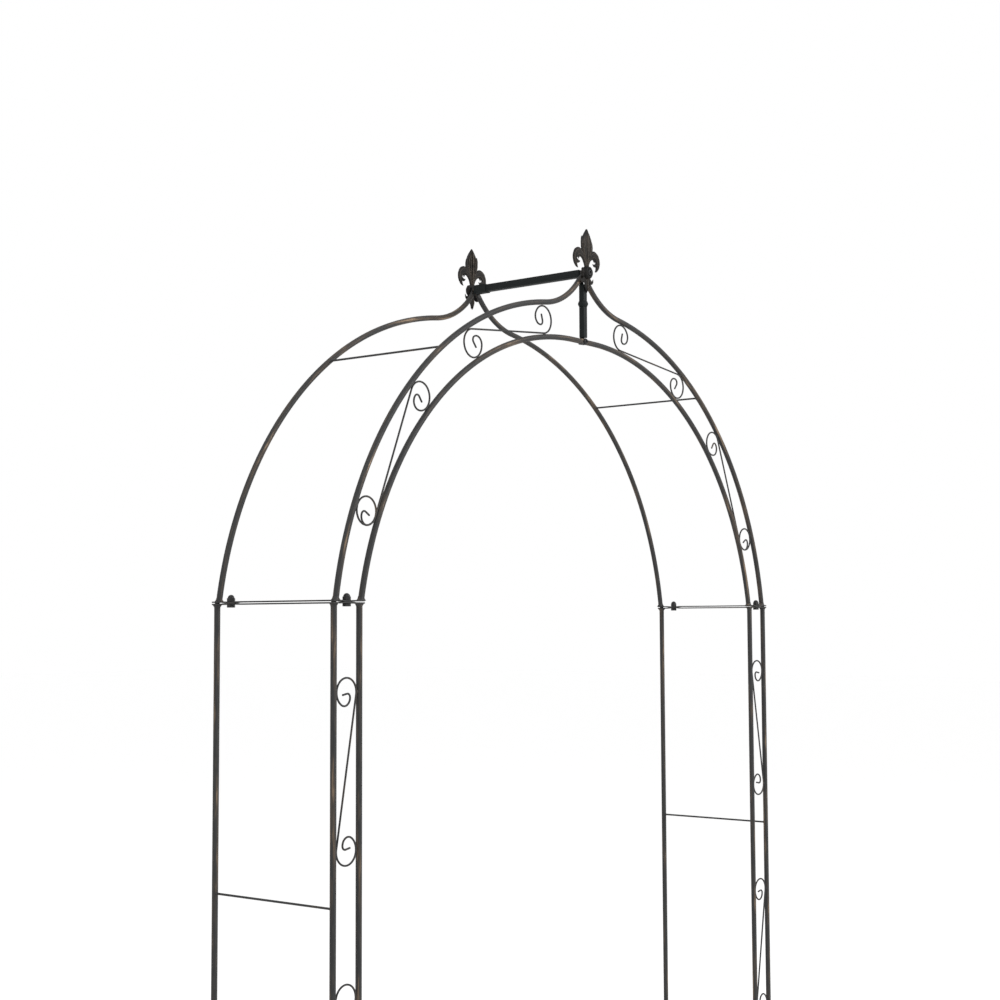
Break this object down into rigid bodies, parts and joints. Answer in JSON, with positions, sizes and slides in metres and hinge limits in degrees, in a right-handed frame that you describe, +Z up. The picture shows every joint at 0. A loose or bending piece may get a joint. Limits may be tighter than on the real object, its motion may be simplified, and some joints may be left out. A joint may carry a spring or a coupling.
{
  "type": "metal trellis arch",
  "caption": "Walk-through garden trellis arch of round steel bar with an ogee double hoop, S-scroll infill, ridge bar and fleur-de-lis finials, on bolted three-post side panels.",
  "frame": {"origin": "on the ground, midway between the left and right posts and midway between the front and back frames", "axes": "+X to the right seen from the front, +Y from the front frame to the back frame, +Z up"},
  "size_m": [1.514, 0.3212, 2.305],
  "materials": {
    "painted_bar": "satin near-black paint with rubbed bronze patches",
    "painted_strip": "satin near-black paint with a grey cast",
    "scroll_wire": "satin near-black paint",
    "dark_bar": "satin black paint",
    "finial_casting": "dark brown-black patina over cast relief",
    "fasteners": "satin black painted steel"
  },
  "bodies": {
    "root": {"post_outer_left": "painted_bar", "post_inner_left": "painted_bar", "post_back_left": "painted_bar", "post_outer_right": "painted_bar", "post_inner_right": "painted_bar", "post_back_right": "painted_bar", "hoop_outer_left": "painted_bar", "hoop_inner_left": "painted_bar", "hoop_back_left": "painted_bar", "hoop_outer_right": "painted_bar", "hoop_inner_right": "painted_bar", "hoop_back_right": "painted_bar", "joint_strip_upper_left": "painted_strip", "joint_strip_lower_left": "painted_strip", "foot_strip_left": "painted_strip", "joint_strip_upper_right": "painted_strip", "joint_strip_lower_right": "painted_strip", "foot_strip_right": "painted_strip", "scroll_panel_1_left": "scroll_wire", "scroll_panel_2_left": "scroll_wire", "scroll_panel_3_left": "scroll_wire", "scroll_hoop_low_left": "scroll_wire", "scroll_hoop_high_left": "scroll_wire", "scroll_panel_1_right": "scroll_wire", "scroll_panel_2_right": "scroll_wire", "scroll_panel_3_right": "scroll_wire", "scroll_hoop_low_right": "scroll_wire", "scroll_hoop_high_right": "scroll_wire", "crossbar_panel_1_left": "scroll_wire", "crossbar_panel_2_left": "scroll_wire", "crossbar_hoop_left": "scroll_wire", "crossbar_panel_1_right": "scroll_wire", "crossbar_panel_2_right": "scroll_wire", "crossbar_hoop_right": "scroll_wire", "ridge_bar": "dark_bar", "ridge_socket": "dark_bar", "centre_bar": "dark_bar", "centre_bar_ring": "dark_bar", "finial_front": "finial_casting", "finial_back": "finial_casting", "finial_bolt_front": "fasteners", "finial_bolt_back": "fasteners", "crown_bolt": "fasteners", "crown_nut": "fasteners", "joint_bolt_front_left": "fasteners", "dome_nut_front_left": "fasteners", "joint_bolt_back_left": "fasteners", "dome_nut_back_left": "fasteners", "joint_bolt_front_right": "fasteners", "dome_nut_front_right": "fasteners", "joint_bolt_back_right": "fasteners", "dome_nut_back_right": "fasteners"}
  },
  "joints": []
}
